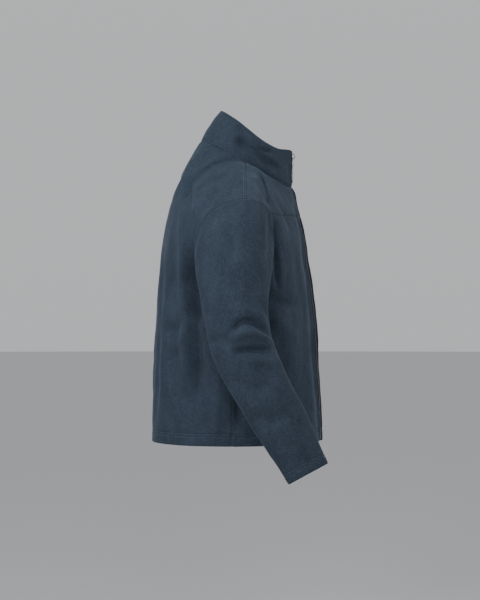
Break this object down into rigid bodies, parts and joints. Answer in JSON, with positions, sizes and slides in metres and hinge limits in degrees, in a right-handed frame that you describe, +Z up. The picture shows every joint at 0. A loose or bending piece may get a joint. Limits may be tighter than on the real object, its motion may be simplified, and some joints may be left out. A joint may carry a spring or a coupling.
{
  "type": "fleece zip jacket",
  "caption": "Boxy fleece jacket with a stand collar, yoke front, dropped sleeves and a full-length zip, filled out as worn.",
  "frame": {"origin": "midway between the two neck points, where the shoulder seams meet the collar and the wearer's shoulders hold the jacket up", "axes": "+Z up towards the collar; the wearer faces -Y; the wearer's left hand is at +X"},
  "size_m": [0.6952, 0.3749, 0.7901],
  "materials": {
    "fleece": "brushed polyester fleece, dark slate blue",
    "zip_tape": "woven polyester zip tape, near black",
    "zip_metal": "satin gunmetal zip parts"
  },
  "bodies": {
    "jacket": {"back": "fleece", "collar": "fleece", "front_left": "fleece", "front_right": "fleece", "front_yoke_left": "fleece", "front_yoke_right": "fleece", "sleeve_left": "fleece", "sleeve_right": "fleece", "zip_box": "zip_metal", "zip_slider": "zip_metal", "zip_tape_left": "zip_tape", "zip_tape_right": "zip_tape"},
    "pull": {"zip_pull": "zip_metal"}
  },
  "joints": [
    {"name": "pull_hinge", "type": "hinge", "parent": "jacket", "child": "pull", "pos_m": [-0.00132, -0.1052, 0.01068], "axis": [-0.9742, 0.2257, 0], "range_deg": [0, 140]}
  ]
}
